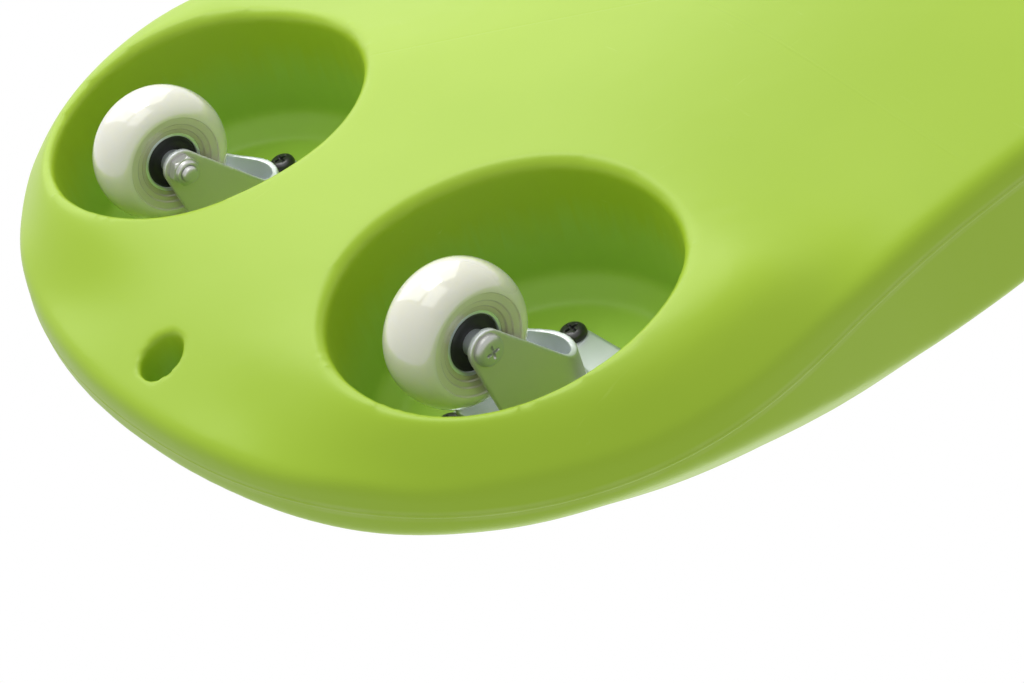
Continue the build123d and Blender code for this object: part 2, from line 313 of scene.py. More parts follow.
class Shader:
    """A small helper that adds nodes to one tree and joins their sockets."""

    def __init__(self, tree: bpy.types.NodeTree) -> None:
        """Keeps the tree."""
        self.tree = tree

    def add(self, kind: str, **settings: object) -> bpy.types.Node:
        """Adds a node and sets its properties.

        Args:
            kind: the node's type name.
            **settings: properties to set on it.

        Returns:
            The node.
        """
        node = self.tree.nodes.new(kind)
        for key, value in settings.items():
            setattr(node, key, value)
        return node

    def join(self, source: Socket, target: Socket) -> None:
        """Links one socket to another."""
        self.tree.links.new(source, target)

    def feed(self, target: Socket, value: object) -> None:
        """Links a socket, or sets a plain value.

        Args:
            target: the input to fill.
            value: a socket, a number or a colour.
        """
        if isinstance(value, Socket):
            self.join(value, target)
        else:
            target.default_value = value

    def attribute(self, name: str) -> Socket:
        """Reads a number stored with the mesh's points."""
        return self.add("ShaderNodeAttribute", attribute_type="GEOMETRY", attribute_name=name).outputs["Fac"]

    def noise(self, vector: Socket, scale: object, detail: float, roughness: float = 0.55) -> Socket:
        """Adds a noise texture.

        Args:
            vector: its coordinates.
            scale: its scale, a number or a socket.
            detail: octaves.
            roughness: how much the fine octaves count.

        Returns:
            The noise value's socket.
        """
        node = self.add("ShaderNodeTexNoise")
        self.join(vector, node.inputs["Vector"])
        self.feed(node.inputs["Scale"], scale)
        node.inputs["Detail"].default_value = detail
        node.inputs["Roughness"].default_value = roughness
        return node.outputs["Fac"]

    def math(self, operation: str, first: object, second: object = 0.0, third: float = 0.0) -> Socket:
        """Adds a math node.

        Args:
            operation: the operation's name.
            first: first number or socket.
            second: second number or socket.
            third: third number, for operations that take one.

        Returns:
            The result's socket.
        """
        node = self.add("ShaderNodeMath", operation=operation)
        self.feed(node.inputs[0], first)
        self.feed(node.inputs[1], second)
        node.inputs[2].default_value = third
        return node.outputs[0]

    def dot(self, vector: Socket, direction: Direction) -> Socket:
        """Measures a place along a direction.

        Args:
            vector: the place.
            direction: the direction.

        Returns:
            The length's socket.
        """
        node = self.add("ShaderNodeVectorMath", operation="DOT_PRODUCT")
        self.join(vector, node.inputs[0])
        node.inputs[1].default_value = direction
        return node.outputs["Value"]

    def span(
        self, value: Socket, low: float, high: float, to_low: float = 0.0, to_high: float = 1.0
    ) -> Socket:
        """Stretches a value's span smoothly to another, held at its ends.

        Args:
            value: the socket to stretch.
            low: where the span starts.
            high: where it ends.
            to_low: what the start becomes.
            to_high: what the end becomes.

        Returns:
            The result's socket.
        """
        node = self.add("ShaderNodeMapRange", interpolation_type="SMOOTHSTEP")
        self.join(value, node.inputs["Value"])
        for key, number in (("From Min", low), ("From Max", high), ("To Min", to_low), ("To Max", to_high)):
            node.inputs[key].default_value = number
        return node.outputs["Result"]

    def mix(self, share: object, first: object, second: object) -> Socket:
        """Mixes two colours.

        Args:
            share: how much of the second, a number or a socket.
            first: first colour or socket.
            second: second colour or socket.

        Returns:
            The mixed colour's socket.
        """
        node = self.add("ShaderNodeMix", data_type="RGBA")
        self.feed(node.inputs["Factor"], share)
        for key, value in (("A", first), ("B", second)):
            socket = next(s for s in node.inputs if s.name == key and s.type == "RGBA")
            self.feed(socket, value if isinstance(value, Socket) else (*value, 1.0))
        return next(s for s in node.outputs if s.type == "RGBA")

    def bump(self, height: Socket, strength: float, distance: float) -> Socket:
        """Adds a bump node.

        Args:
            height: the height's socket.
            strength: its strength.
            distance: the height of a full step, in metres.

        Returns:
            The normal's socket.
        """
        node = self.add("ShaderNodeBump")
        node.inputs["Strength"].default_value = strength
        node.inputs["Distance"].default_value = distance
        self.join(height, node.inputs["Height"])
        return node.outputs["Normal"]


class Effects:
    """The effects that more than one finish uses, each built once as a node group."""

    def __init__(self) -> None:
        """Builds the groups."""
        self.handling = self._handling()
        self.grain = self._grain()

    @staticmethod
    def _new_group(
        name: str, inputs: dict[str, float], outputs: list[str]
    ) -> tuple[bpy.types.NodeTree, Shader, bpy.types.Node, bpy.types.Node]:
        """Starts a group with a vector input, number inputs and number outputs.

        Args:
            name: the group's name.
            inputs: number inputs with their starting values.
            outputs: names of the number outputs.

        Returns:
            The tree, its helper, and its input and output nodes.
        """
        tree = bpy.data.node_groups.new(name, "ShaderNodeTree")
        tree.interface.new_socket("Vector", in_out="INPUT", socket_type="NodeSocketVector")
        for key, value in inputs.items():
            tree.interface.new_socket(key, in_out="INPUT", socket_type="NodeSocketFloat").default_value = value
        for key in outputs:
            tree.interface.new_socket(key, in_out="OUTPUT", socket_type="NodeSocketFloat")
        shader = Shader(tree)
        return tree, shader, shader.add("NodeGroupInput"), shader.add("NodeGroupOutput")

    def _handling(self) -> bpy.types.NodeTree:
        """Handling marks: long thin scratches in two directions and soft smudges.

        Returns:
            The group, with Scratches and Smudges from 0 to 1.
        """
        outputs = ["Scratches", "Smudges"]
        tree, shader, source, sink = self._new_group("handling_marks", {"Scale": 30.0}, outputs)
        vector, scale = source.outputs["Vector"], source.outputs["Scale"]
        marks = []
        for turn, stretch in ((0.6, (1.0, 14.0, 1.0)), (-0.9, (11.0, 1.0, 11.0))):
            mapping = shader.add("ShaderNodeMapping")
            mapping.inputs["Rotation"].default_value = (0.0, 0.0, turn)
            mapping.inputs["Scale"].default_value = stretch
            shader.join(vector, mapping.inputs["Vector"])
            fine = shader.noise(mapping.outputs["Vector"], scale, 5.0, 0.65)
            marks.append(shader.span(fine, 0.66, 0.74))
        patch = shader.span(shader.noise(vector, 9.0, 2.0), 0.50, 0.68)
        both = shader.math("MAXIMUM", marks[0], marks[1])
        shader.join(shader.math("MULTIPLY", both, patch), sink.inputs["Scratches"])
        shader.join(shader.noise(vector, 6.0, 3.0), sink.inputs["Smudges"])
        return tree

    def _grain(self) -> bpy.types.NodeTree:
        """Fine moulding or plating grain over a soft waviness.

        Returns:
            The group, with Grain and Wave from 0 to 1.
        """
        numbers = {"Scale": 900.0, "Wave Scale": 18.0}
        tree, shader, source, sink = self._new_group("surface_grain", numbers, ["Grain", "Wave"])
        vector = source.outputs["Vector"]
        shader.join(shader.noise(vector, source.outputs["Scale"], 2.0), sink.inputs["Grain"])
        shader.join(shader.noise(vector, source.outputs["Wave Scale"], 2.0, 0.4), sink.inputs["Wave"])
        return tree


# Finishes


@dataclass(frozen=True)
class Finish:
    """One surface finish: a base colour with soft variation, grain, marks and gloss."""

    name: str
    colour: Colour
    shade: Colour
    roughness: float
    metallic: float = 0.0
    specular: float = 0.5
    coat: float = 0.0
    coat_ior: float = 1.5
    coat_roughness: float = 0.06
    smudge_roughness: float = 0.12
    cloud_span: tuple[float, float] = (0.3, 0.7)
    grain_scale: float = 900.0
    grain_height: float = 0.02
    wave_height: float = 0.0
    mark_colour: Colour = (0.9, 0.9, 0.9)
    mark_share: float = 0.3
    mark_scale: float = 30.0
    subsurface: float = 0.0
    subsurface_radius: Colour = WHITE
    subsurface_scale: float = 4.0 * MM

    def make(self, effects: Effects) -> bpy.types.Material:
        """Builds the material.

        Args:
            effects: the shared node groups.

        Returns:
            The material.
        """
        material = bpy.data.materials.new(self.name)
        material.use_nodes = True
        material.node_tree.nodes.clear()
        shader = Shader(material.node_tree)
        surface = shader.add("ShaderNodeBsdfPrincipled")
        output = shader.add("ShaderNodeOutputMaterial")
        shader.join(surface.outputs["BSDF"], output.inputs["Surface"])
        place = shader.add("ShaderNodeTexCoord").outputs["Object"]
        handling = shader.add("ShaderNodeGroup", node_tree=effects.handling)
        handling.inputs["Scale"].default_value = self.mark_scale
        grain = shader.add("ShaderNodeGroup", node_tree=effects.grain)
        grain.inputs["Scale"].default_value = self.grain_scale
        shader.join(place, handling.inputs["Vector"])
        shader.join(place, grain.inputs["Vector"])
        cloud = shader.span(handling.outputs["Smudges"], *self.cloud_span)
        base = self.tint(shader, shader.mix(cloud, self.colour, self.shade), place)
        marks = shader.math("MULTIPLY", handling.outputs["Scratches"], self.mark_share)
        shader.join(shader.mix(marks, base, self.mark_colour), surface.inputs["Base Color"])
        even = self.roughness - 0.5 * self.smudge_roughness
        rough = shader.math("MULTIPLY_ADD", handling.outputs["Smudges"], self.smudge_roughness, even)
        shader.join(rough, surface.inputs["Roughness"])
        height = shader.math("MULTIPLY", grain.outputs["Grain"], self.grain_height)
        wave = shader.math("MULTIPLY", grain.outputs["Wave"], self.wave_height)
        total = self.relief(shader, shader.math("ADD", height, wave), place)
        shader.join(shader.bump(total, 1.0, MM), surface.inputs["Normal"])
        plain = {
            "Metallic": self.metallic,
            "Specular IOR Level": self.specular,
            "Coat Weight": self.coat,
            "Coat Roughness": self.coat_roughness,
            "Coat IOR": self.coat_ior,
        }
        if self.subsurface:
            plain["Subsurface Weight"] = self.subsurface
            plain["Subsurface Radius"] = self.subsurface_radius
            plain["Subsurface Scale"] = self.subsurface_scale
        for key, value in plain.items():
            surface.inputs[key].default_value = value
        return material

    def tint(self, shader: Shader, base: Socket, place: Socket) -> Socket:
        """Leaves the base colour as it is; a finish with its own pattern changes it."""
        return base

    def relief(self, shader: Shader, height: Socket, place: Socket) -> Socket:
        """Leaves the relief as it is; a finish with its own pattern adds to it."""
        return height


@dataclass(frozen=True)
class MouldedFinish(Finish):
    """The board's plastic: a paler band along its parting line that is painted highlight, a greener tint in its
    wells that is painted shade, and faint lines left by the mould.
    """

    seam_z: float = SEAM_Z
    # painted highlight along the parting line: its half width, strength, patch scale and colour
    seam_highlight_half: float = 2.6 * MM
    seam_highlight_share: float = 0.35
    highlight_patch_scale: float = 45.0
    seam_highlight_colour: Colour = (0.6, 0.7, 0.2)
    # painted shade: the greener colour the wells' walls take as they go deeper
    well_shade_colour: Colour = (0.4, 0.6, 0.1)
    line_half: float = 0.9 * MM
    line_depth: float = 0.05
    line_z: float = 36.0 * MM
    lines: tuple[tuple[float, ...], ...] = ((129.0, 55.0, 40.0, -28.0), (44.0, -31.0, 46.0, -160.0))

    def tint(self, shader: Shader, base: Socket, place: Socket) -> Socket:
        """Paints highlight as a lighter, patchy band along the outer wall's parting line, and paints shade into
        the wells as a greener tint that grows with depth.

        Args:
            shader: the material's helper.
            base: the colour so far.
            place: the place on the object.

        Returns:
            The changed colour.
        """
        # the second attribute holds each point's share of the wells' painted shade
        outer, well_shade = shader.attribute("outer_wall"), shader.attribute("well_shade")
        away = shader.math("ABSOLUTE", shader.math("SUBTRACT", shader.dot(place, UP), self.seam_z))
        # painted highlight: near the parting line the colour turns paler, in patches
        near = shader.span(away, 0.5 * self.seam_highlight_half, self.seam_highlight_half, self.seam_highlight_share, 0.0)
        highlight_patches = shader.span(shader.noise(place, self.highlight_patch_scale, 4.0), 0.35, 0.65, 0.4, 1.0)
        painted_seam_light = shader.math("MULTIPLY", shader.math("MULTIPLY", near, outer), highlight_patches)
        return shader.mix(painted_seam_light, shader.mix(well_shade, base, self.well_shade_colour), self.seam_highlight_colour)

    def relief(self, shader: Shader, height: Socket, place: Socket) -> Socket:
        """Adds the mould's lines, thin grooves across the underside, each low near a line between two points.

        Args:
            shader: the material's helper.
            height: the relief so far.
            place: the place on the object.

        Returns:
            The changed relief.
        """
        low = shader.span(shader.dot(place, UP), self.line_z, self.line_z + 2.0 * MM, 1.0, 0.0)
        for x0, y0, x1, y1 in self.lines:
            length = math.hypot(x1 - x0, y1 - y0)
            along = ((x1 - x0) / length, (y1 - y0) / length, 0.0)
            aside = (-along[1], along[0], 0.0)
            middle = (0.5 * MM * (x0 + x1), 0.5 * MM * (y0 + y1))
            off = shader.math("SUBTRACT", shader.dot(place, aside), middle[0] * aside[0] + middle[1] * aside[1])
            run = shader.math("SUBTRACT", shader.dot(place, along), middle[0] * along[0] + middle[1] * along[1])
            across = shader.span(shader.math("ABSOLUTE", off), 0.0, self.line_half, -self.line_depth, 0.0)
            within = shader.span(shader.math("ABSOLUTE", run), 0.48 * MM * length, 0.52 * MM * length, 1.0, 0.0)
            line = shader.math("MULTIPLY", shader.math("MULTIPLY", across, within), low)
            height = shader.math("ADD", height, line)
        return height


@dataclass(frozen=True)
class CoreFinish(Finish):
    """A finish with a second colour: the hub that shows through the wheel, and on the fork a paler zinc that is
    painted light on the faces turned in and down.
    """

    hub_and_lit_side_colour: Colour = (0.5, 0.5, 0.4)

    def tint(self, shader: Shader, base: Socket, place: Socket) -> Socket:
        """Turns to the second colour by the mesh's own attribute: the hub share on the wheel, the painted light
        on the fork.
        """
        return shader.mix(shader.attribute("hub_and_lit_side"), base, self.hub_and_lit_side_colour)


LIME_PLASTIC = MouldedFinish(
    "lime_plastic",
    colour=srgb(169, 200, 47),
    shade=srgb(162, 194, 41),
    roughness=0.38,
    specular=0.36,
    grain_scale=1400.0,
    grain_height=0.008,
    wave_height=0.10,
    mark_colour=srgb(196, 220, 110),
    mark_share=0.25,
    mark_scale=26.0,
    # painted highlight: the paler colour of the band along the parting line
    seam_highlight_colour=srgb(186, 206, 110),
    # painted shade: the tint that the wells' walls take
    well_shade_colour=srgb(161, 201, 70),
)
IVORY_WHEEL = CoreFinish(
    "ivory_urethane",
    colour=srgb(236, 233, 217),
    shade=srgb(231, 228, 208),
    roughness=0.26,
    specular=0.5,
    coat=1.0,
    coat_ior=1.8,
    hub_and_lit_side_colour=srgb(190, 184, 152),
    grain_scale=600.0,
    grain_height=0.002,
    mark_colour=srgb(190, 188, 176),
    mark_share=0.2,
    mark_scale=90.0,
    subsurface=0.6,
    subsurface_radius=(1.0, 0.95, 0.6),
)
FORK_ZINC = CoreFinish(
    "fork_zinc",
    colour=(0.66, 0.63, 0.62),
    shade=(0.58, 0.55, 0.54),
    # painted highlight: the paler zinc on the fork's faces turned in and down
    hub_and_lit_side_colour=(0.88, 0.91, 0.95),
    roughness=0.38,
    metallic=0.55,
    grain_scale=2400.0,
    grain_height=0.010,
    wave_height=0.05,
    mark_colour=(0.75, 0.75, 0.72),
    mark_share=0.45,
    mark_scale=140.0,
)
PLATE_ZINC = Finish(
    "plate_zinc",
    colour=(0.80, 0.83, 0.86),
    shade=(0.72, 0.76, 0.80),
    roughness=0.28,
    metallic=0.7,
    grain_scale=1800.0,
    grain_height=0.006,
    mark_colour=(0.9, 0.9, 0.9),
    mark_share=0.3,
    mark_scale=120.0,
)
BOLT_ZINC = Finish(
    "bolt_zinc",
    colour=(0.60, 0.60, 0.58),
    shade=(0.52, 0.52, 0.50),
    roughness=0.34,
    metallic=0.6,
    grain_scale=2200.0,
    grain_height=0.006,
    mark_colour=(0.8, 0.8, 0.8),
    mark_share=0.35,
    mark_scale=160.0,
)
BLACK_OXIDE = Finish(
    "black_oxide",
    colour=(0.016, 0.016, 0.018),
    shade=(0.026, 0.025, 0.025),
    roughness=0.30,
    specular=0.6,
    grain_scale=2600.0,
    grain_height=0.006,
    mark_colour=(0.12, 0.12, 0.12),
    mark_share=0.4,
    mark_scale=200.0,
)
SEAL_RUBBER = Finish(
    "seal_rubber",
    colour=(0.010, 0.010, 0.011),
    shade=(0.018, 0.018, 0.018),
    roughness=0.42,
    grain_scale=2600.0,
    grain_height=0.008,
    mark_colour=(0.06, 0.06, 0.06),
    mark_scale=220.0,
)


# The board


@dataclass
class Board:
    """The moulded board and the trace of its parting line."""

    finish: bpy.types.Material
    well_radius: float = 63.0 * MM
    well_rim_z: float = 37.0 * MM
    # the height at which the wells' painted shade is full
    well_full_shade_z: float = 46.0 * MM
    rope_hole_x: float = 267.0 * MM
    rope_hole_radius: float = 11.0 * MM
    facing_up: float = 0.25
    seam_reach: float = 0.02 * MM
    strip_height: float = 1.3 * MM
    strip_proud: float = 0.35 * MM
    strip_sunk: float = 0.6
    strip_steps: int = 720
    strip_rows: int = 9
    strip_smoothing: int = 4
    cell: float = 1.5 * MM
    passes: int = 6
    keep: float = 0.34

    def build(self) -> None:
        """Makes the board's skin and the strip along its parting line."""
        skin = rounded_copy("deck", "board_skin", self.cell, self.passes, self.keep)
        self._mark_outer_wall(skin)
        place_piece(skin, "board", self.finish, "deck")
        place_piece(self._seam_strip(), "board", self.finish)

    def _mark_outer_wall(self, skin: bpy.types.Mesh) -> None:
        """Marks the points that lie outside the wells and the rope holes, and how deep the others lie in them,
        which sets the painted shade in the wells.

        Args:
            skin: the board's mesh.
        """
        points = np.abs(mesh_points(skin))
        from_well = np.hypot(points[:, 0] - CASTER_X, points[:, 1] - CASTER_Y)
        from_hole = np.hypot(points[:, 0] - self.rope_hole_x, points[:, 1])
        outer = (from_well > self.well_radius) & (from_hole > self.rope_hole_radius)
        depth = np.interp(points[:, 2], [self.well_rim_z, self.well_full_shade_z], [0.0, 1.0])
        riding_side = mesh_normals(skin)[:, 2] > self.facing_up
        mark_points(skin, "outer_wall", outer)
        # painted shade: deeper points in the wells take more of the shade colour; the outer wall and the riding
        # side take none
        mark_points(skin, "well_shade", np.where(outer | riding_side, 0.0, depth))

    def _seam_strip(self) -> bpy.types.Mesh:
        """Carries a low rounded profile along the seam, through the board's points there, spread evenly.

        Returns:
            The strip's mesh.
        """
        points = mesh_points(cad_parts["deck"].data)
        seam = points[np.abs(points[:, 2] - SEAM_Z) < self.seam_reach]
        _, first = np.unique(np.round(np.arctan2(seam[:, 1], seam[:, 0]), 4), return_index=True)
        loop = np.vstack([seam[first], seam[first[:1]]])
        length = np.concatenate([[0.0], np.cumsum(np.linalg.norm(np.diff(loop, axis=0), axis=1))])
        even = np.linspace(0.0, length[-1], self.strip_steps, endpoint=False)
        path = np.stack([np.interp(even, length, loop[:, axis]) for axis in range(3)], axis=-1)
        for _ in range(self.strip_smoothing):
            path = 0.5 * path + 0.25 * (np.roll(path, 1, axis=0) + np.roll(path, -1, axis=0))
        along = np.roll(path, -1, axis=0) - np.roll(path, 1, axis=0)
        outward = np.stack([along[:, 1], -along[:, 0], 0.0 * along[:, 0]], axis=-1)
        outward /= np.linalg.norm(outward, axis=1, keepdims=True)
        swing = np.linspace(-0.5 * np.pi, 0.5 * np.pi, self.strip_rows)
        out = self.strip_proud * (np.cos(swing) - self.strip_sunk)
        up = 0.5 * self.strip_height * np.sin(swing)
        strip = path[None] + out[:, None, None] * outward[None] + up[:, None, None] * np.array(UP)
        mesh = grid_mesh("board_parting_line", [strip], True)
        mark_points(mesh, "outer_wall", np.ones(len(mesh.vertices)))
        return mesh


# The casters


@dataclass
class Caster:
    """One swivel caster: its plate, screws, pin, fork, axle and wheel."""

    side: Side
    finishes: dict[str, bpy.types.Material]
    trail: float = 22.0 * MM
    axle_z: float = 25.0 * MM
    screw_x: float = 27.2 * MM
    screw_y: float = 16.6 * MM
    plate_z: float = 70.6 * MM
    crease: float = 38.0
    plate_cell: float = 0.5 * MM
    plate_passes: int = 3
    fork_cell: float = 0.45 * MM
    fork_passes: int = 4
    hub_radii: tuple[float, ...] = (11.0 * MM, 14.9 * MM, 17.4 * MM, 18.4 * MM)
    hub_shares: tuple[float, ...] = (1.0, 0.6, 0.35, 0.0)
    inside_gain: float = 1.5
    first_screw_turn: float = 0.3
    next_screw_turn: float = 0.7

    def build(self) -> None:
        """Makes every piece of the caster."""
        tag = self.side.tag
        fork, roller = f"caster_{tag}", f"roller_{tag}"
        plate_node, fork_node = f"mount_plate_{tag}", f"fork_{tag}"
        plate = rounded_copy(plate_node, f"mount_plate_skin_{tag}", self.plate_cell, self.plate_passes)
        place_piece(plate, "board", self.finishes["plate_zinc"], plate_node)
        self._place("plate_screws", self._screws(), "board", "screw_black", "")
        self._place("king_pin", [self._upright(self._pin())], "board", "pin_steel", "king_pin")
        fork_skin = rounded_copy(fork_node, f"fork_skin_{tag}", self.fork_cell, self.fork_passes)
        # painted light: the fork's faces turned in and down are marked for a paler zinc
        self._mark_inside(fork_skin)
        place_piece(fork_skin, fork, self.finishes["fork_zinc"], fork_node)
        self._place("crown_race", [self._upright(self._race())], fork, "plate_zinc", "")
        self._place("axle_bolt", [self._on_axle(self._bolt())], fork, "bolt_zinc", "axle_bolt")
        self._place("axle_nut", [self._on_axle(self._nut())], fork, "nut_zinc", "axle_nut")
        self._place("wheel", [self._on_axle(self._wheel())], roller, "wheel_plastic", "wheel")
        rings = [self._on_axle(ring) for ring in self._steel_rings()]
        self._place("bearing_rings", rings, roller, "pin_steel", "")
        seals = [self._on_axle(seal) for seal in self._seals()]
        self._place("bearing_seals", seals, roller, "bearing_black", "bearing")

    def _place(self, kind: str, grids: list[np.ndarray], body: str, finish: str, node: str) -> None:
        """Makes one piece from grids and puts it on its body.

        Args:
            kind: the piece's name without the caster's ending.
            grids: its grids, in the board's frame.
            body: the body it moves with.
            finish: the finish's name.
            node: the node's name without the caster's ending, or nothing.
        """
        mesh = grid_mesh(f"{kind}_{self.side.tag}_piece", grids, True)
        if node == "wheel":
            self._mark_core(mesh)
        tidy_mesh(mesh, self.crease)
        place_piece(mesh, body, self.finishes[finish], f"{node}_{self.side.tag}" if node else "")

    def _mark_core(self, mesh: bpy.types.Mesh) -> None:
        """Marks how near each point of the wheel lies to its hub: 0 on the tread, 1 at the bearing.

        Args:
            mesh: the wheel's mesh.
        """
        ends = self._on_axle(np.array([[0.0, 0.0, -1.0], [0.0, 0.0, 1.0]]) * MM)
        along = (ends[1] - ends[0]) / np.linalg.norm(ends[1] - ends[0])
        away = np.linalg.norm(np.cross(mesh_points(mesh) - ends[0], along), axis=1)
        mark_points(mesh, "hub_and_lit_side", np.interp(away, self.hub_radii, self.hub_shares))

    def _mark_inside(self, mesh: bpy.types.Mesh) -> None:
        """Marks the fork's painted light: 1 on faces that look at the king pin's axis or downwards, towards the
        lamps below, 0 on its outside.

        Args:
            mesh: the fork's mesh.
        """
        points, normals = mesh_points(mesh), mesh_normals(mesh)
        axis = self._upright(np.zeros((1, 3)))[0]
        outward = (points - axis)[:, :2]
        outward /= np.maximum(np.linalg.norm(outward, axis=1, keepdims=True), SAME_POINT)
        inward = -self.inside_gain * np.sum(normals[:, :2] * outward, axis=1)
        mark_points(mesh, "hub_and_lit_side", np.clip(np.maximum(inward, -normals[:, 2]), 0.0, 1.0))

    def _to_board(self, points: np.ndarray, turned: bool) -> np.ndarray:
        """Moves a grid from the caster's own frame, with the pin as its Z axis, to the board's.

        Args:
            points: the grid.
            turned: whether it turns with the fork.

        Returns:
            The moved grid.
        """
        _, along, across, degrees = self.side.value
        turn = math.radians(degrees) if turned else 0.0
        x, y, z = np.moveaxis(points, -1, 0)
        moved_x = along * CASTER_X + x * math.cos(turn) - y * math.sin(turn)
        moved_y = across * CASTER_Y + x * math.sin(turn) + y * math.cos(turn)
        return np.stack([moved_x, moved_y, z], axis=-1)

    def _upright(self, points: np.ndarray) -> np.ndarray:
        """Places a grid that was turned about the pin."""
        return self._to_board(points, True)

    def _on_axle(self, points: np.ndarray) -> np.ndarray:
        """Lays a grid that was turned about Z along the axle, its top towards the bolt head's side."""
        x, y, z = np.moveaxis(points, -1, 0)
        return self._to_board(np.stack([self.trail + x, self.side.across * z, self.axle_z + y], axis=-1), True)

    def _screws(self) -> list[np.ndarray]:
        """Four pan-head screws that hold the plate to the board: a domed profile turned round, with a cross.

        Returns:
            Their grids, in the board's frame.
        """
        rings = [(r, 3.1 - 0.012 * r * r, 0.0) for r in np.linspace(0.0, 2.6, 14)]
        dome = [(3.6, 2.75, 0.5), (4.5, 2.0, 0.8), (4.9, 1.0, 0.6), (4.9, 0.0, 0.0)]
        turned = turned_points(rounded_profile(rings + dome), 64)
        head = cross_recess(turned, 3.1 * MM, 2.3 * MM, 0.45 * MM, 1.0 * MM)
        grids = []
        for number, (sx, sy) in enumerate(((1, 1), (1, -1), (-1, 1), (-1, -1))):
            turn = self.next_screw_turn * number + self.first_screw_turn
            x = head[..., 0] * math.cos(turn) - head[..., 1] * math.sin(turn)
            y = head[..., 0] * math.sin(turn) + head[..., 1] * math.cos(turn)
            placed = [sx * self.screw_x + x, sy * self.screw_y + y, self.plate_z - head[..., 2]]
            grids.append(self._to_board(np.stack(placed, axis=-1), False))
        return grids

    @staticmethod
    def _pin() -> np.ndarray:
        """The king pin's riveted head and shank, as a turned profile.

        Returns:
            Its grid, about the pin.
        """
        head = [(0, 61.4, 0), (3.4, 61.5, 1), (6.6, 62.0, 1.6), (8.5, 63.4, 1.0), (8.5, 64.4, 0.3)]
        shank = [(4.5, 64.4, 0.2), (4.5, 67.4, 0), (0, 67.4, 0)]
        return turned_points(rounded_profile(head + shank))

    @staticmethod
    def _race() -> np.ndarray:
        """The round bead that the ball race raises on the crown's underside, as a turned profile."""
        corners = [(9.0, 64.9, 0), (9.6, 64.2, 0.5), (11.2, 63.7, 1.0), (12.8, 64.2, 0.5), (13.4, 64.9, 0)]
        return turned_points(rounded_profile(corners))

    @staticmethod
    def _bolt() -> np.ndarray:
        """The axle bolt: pan head, shank, thread rings and rounded end as a turned profile, with a cross.

        Returns:
            Its grid, about Z.
        """
        rings = [(r, 19.0 - 0.012 * r * r, 0.0) for r in np.linspace(0.0, 2.8, 15)]
        head = [(4.1, 18.65, 0.6), (5.2, 17.9, 0.7), (5.5, 16.9, 0.4), (5.5, 16.2, 0.1)]
        shank = [(3.0, 16.2, 0.1), (3.0, -21.2, 0)]
        wave = [0.13 * math.cos(2 * math.pi * step / 6) for step in range(1, 15)]
        thread = [(2.86 + out, -21.2 - 0.12 * step, 0.0) for step, out in enumerate(wave, 1)]
        end = [(2.9, -22.95, 0.1), (2.6, -23.6, 0.4), (1.6, -23.95, 0.5), (0.0, -24.0, 0)]
        bolt = turned_points(rounded_profile(rings + head + shank + thread + end))
        return cross_recess(bolt, 19.0 * MM, 2.2 * MM, 0.42 * MM, 0.9 * MM)

    @staticmethod
    def _nut() -> np.ndarray:
        """The lock nut: a turned profile whose radius is held to a hexagon's, and a round collar.

        Returns:
            Its grid, about Z.
        """
        half_flats, segments = 5.0, 96
        angle = np.linspace(0.0, 2.0 * np.pi, segments, endpoint=False)
        hexagon = half_flats / np.cos((angle % (np.pi / 3)) - np.pi / 6)
        foot = [(3.02, 16.2), (5.2, 16.2), (5.45, 16.35), (5.77, 16.8)]
        shoulder = [(5.77, 19.0), (5.5, 19.6), (5.1, 20.0), (4.6, 20.1), (4.45, 20.4)]
        collar = [(4.45, 21.0), (4.3, 21.45), (3.9, 21.72), (3.4, 21.8), (3.02, 21.6)]
        profile = np.array(foot + shoulder + collar)
        radius = np.minimum(hexagon[None], profile[:, :1])
        height = 0.0 * angle[None] - profile[:, 1:]
        return np.stack([radius * np.cos(angle), radius * np.sin(angle), height], axis=-1) * MM

    @staticmethod
    def _wheel() -> np.ndarray:
        """The barrel wheel: half an ellipse for the tread and stepped hub faces, turned round.

        Returns:
            Its grid, about Z.
        """
        rim_radius, crown, half_width = 17.6, 7.4, 12.0
        swing = np.linspace(-0.5 * np.pi, 0.5 * np.pi, 41)
        tread = np.stack([rim_radius + crown * np.cos(swing), half_width * np.sin(swing)], axis=-1) * MM
        rim = [(rim_radius, half_width, 0), (17.3, 11.35, 0.2), (14.9, 11.2, 0.2), (14.5, 10.6, 0.2)]
        hub = [(12.9, 10.5, 0.2), (12.5, 9.9, 0.2), (11.02, 9.9, 0)]
        upper = rounded_profile(rim + hub, 5)
        lower = upper[::-1] * np.array([1.0, -1.0])
        return turned_points(np.vstack([lower, tread[1:-1], upper, lower[:1]]), 128)

    @staticmethod
    def _steel_rings() -> list[np.ndarray]:
        """The bearing's outer ring on both faces and the sleeve between the fork's legs, as turned profiles.

        Returns:
            Their grids, about Z.
        """
        lower = [(11.0, -9.7, 0), (9.9, -9.7, 0.2), (9.7, -9.2, 0)]
        upper = [(9.7, 9.2, 0), (9.9, 9.7, 0.2), (11.0, 9.7, 0)]
        outer = lower + upper + lower[:1]
        sleeve = [(3.08, -13.7, 0), (4.6, -13.7, 0.2), (4.6, 13.7, 0.2), (3.08, 13.7, 0), (3.08, -13.7, 0)]
        return [turned_points(rounded_profile(outer, 4)), turned_points(rounded_profile(sleeve, 4))]

    @staticmethod
    def _seals() -> list[np.ndarray]:
        """The black seal rings, a little dished, on both faces of the bearing, as turned profiles.

        Returns:
            Their grids, about Z.
        """
        seal = [(9.7, 9.2, 0), (9.3, 9.35, 0.2), (7.6, 9.0, 0.8), (5.6, 9.3, 0.4), (4.6, 9.3, 0)]
        other = [(r, -h, rounding) for r, h, rounding in seal]
        return [turned_points(rounded_profile(seal)), turned_points(rounded_profile(other))]


# The studio


@dataclass(frozen=True)
class Lamp:
    """One square soft lamp: its place, its side and its power in watts."""

    name: str
    place: Place
    size: float
    energy: float


